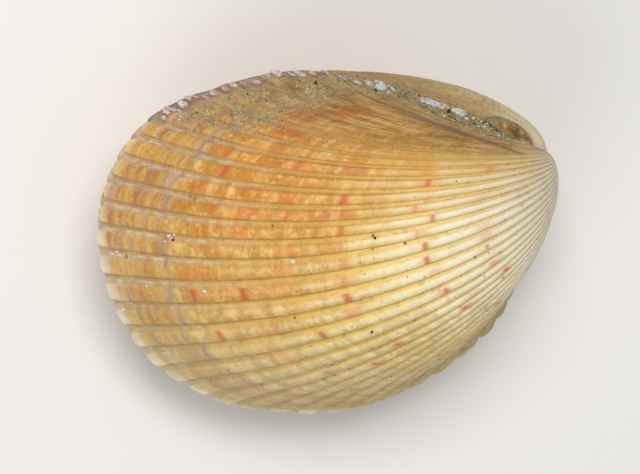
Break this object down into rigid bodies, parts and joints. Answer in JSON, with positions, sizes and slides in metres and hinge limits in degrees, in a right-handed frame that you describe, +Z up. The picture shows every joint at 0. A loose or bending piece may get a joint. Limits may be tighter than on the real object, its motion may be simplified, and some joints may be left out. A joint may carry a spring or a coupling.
{
  "type": "cockle shell",
  "caption": "Closed cockle shell with two deep, ribbed valves that mesh at a toothed margin, held by a small horny ligament, lying on its side.",
  "frame": {"origin": "under the middle of the lying shell, on the surface that it rests on", "axes": "+X toward the beaks and the hinge, +Y toward the posterior end with the ligament, +Z up, out of the right valve"},
  "size_m": [0.0496, 0.0396, 0.0315],
  "materials": {
    "valve_upper": "satin",
    "valve_lower": "satin",
    "ligament": "satin"
  },
  "bodies": {
    "root": {"right_valve": "valve_upper", "left_valve": "valve_lower", "ligament": "ligament"}
  },
  "joints": []
}
